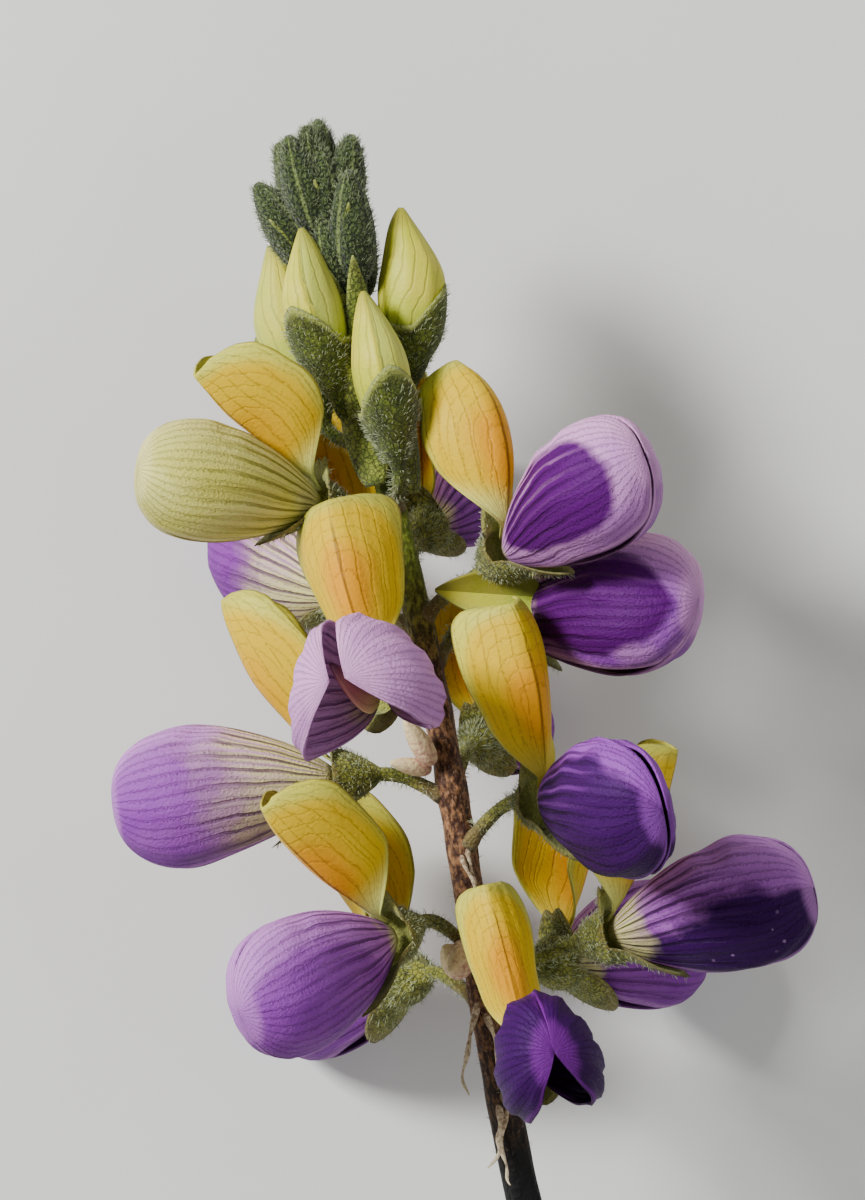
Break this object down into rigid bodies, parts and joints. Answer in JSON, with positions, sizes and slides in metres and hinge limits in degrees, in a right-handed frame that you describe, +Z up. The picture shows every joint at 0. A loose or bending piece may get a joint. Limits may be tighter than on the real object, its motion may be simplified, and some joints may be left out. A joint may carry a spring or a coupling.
{
  "type": "lupin flower spike",
  "caption": "Cut flower spike of pea-shaped blooms with yellow upright petals and violet wings round a slender stem, closed buds towards its tip, lying on its side.",
  "frame": {"origin": "middle of the spike's underside, on the surface that it rests on", "axes": "+Y along the stem towards its tip, +Z up, +X to the right seen from above with the tip away"},
  "size_m": [0.044, 0.0866, 0.0384],
  "materials": {
    "stem": "green stem flushed maroon brown, matt, finely hairy",
    "calyx": "olive green, matt, downy",
    "banner": "golden yellow petal, pale at the edge, satin",
    "wings": "violet petal, cream towards its claw, satin",
    "keel": "pale pink petal, satin",
    "bud_petals": "pale yellow green folded petals, satin",
    "tip_buds": "dark grey green, matt, felted with pale hairs"
  },
  "bodies": {
    "root": {"bud_front_calyx": "calyx", "bud_front_left_calyx": "calyx", "bud_front_left_petals": "bud_petals", "bud_front_petals": "bud_petals", "bud_left_calyx": "calyx", "bud_left_petals": "bud_petals", "bud_right_calyx": "calyx", "bud_right_petals": "bud_petals", "lower_back_left_banner": "banner", "lower_back_left_calyx": "calyx", "lower_back_left_wings": "wings", "lower_back_right_banner": "banner", "lower_back_right_calyx": "calyx", "lower_back_right_wings": "wings", "lower_front_banner": "banner", "lower_front_calyx": "calyx", "lower_front_keel": "keel", "lower_front_wings": "wings", "lower_left_banner": "banner", "lower_left_calyx": "calyx", "lower_left_keel": "keel", "lower_left_wings": "wings", "lower_right_banner": "banner", "lower_right_calyx": "calyx", "lower_right_keel": "keel", "lower_right_wings": "wings", "middle_back_banner": "banner", "middle_back_calyx": "calyx", "middle_back_wings": "wings", "middle_left_banner": "banner", "middle_left_calyx": "calyx", "middle_left_keel": "keel", "middle_left_wings": "wings", "middle_right_banner": "banner", "middle_right_calyx": "calyx", "middle_right_keel": "keel", "middle_right_wings": "wings", "stem": "stem", "tip_buds": "tip_buds", "top_left_banner": "banner", "top_left_calyx": "calyx", "top_left_wings": "wings", "top_right_banner": "banner", "top_right_calyx": "calyx", "top_right_keel": "keel", "top_right_wings": "wings", "upper_back_left_banner": "banner", "upper_back_left_calyx": "calyx", "upper_back_left_wings": "wings", "upper_back_right_banner": "banner", "upper_back_right_calyx": "calyx", "upper_back_right_wings": "wings", "upper_front_banner": "banner", "upper_front_calyx": "calyx", "upper_front_keel": "keel", "upper_front_wings": "wings", "upper_right_banner": "banner", "upper_right_calyx": "calyx", "upper_right_keel": "keel", "upper_right_wings": "wings"}
  },
  "joints": []
}
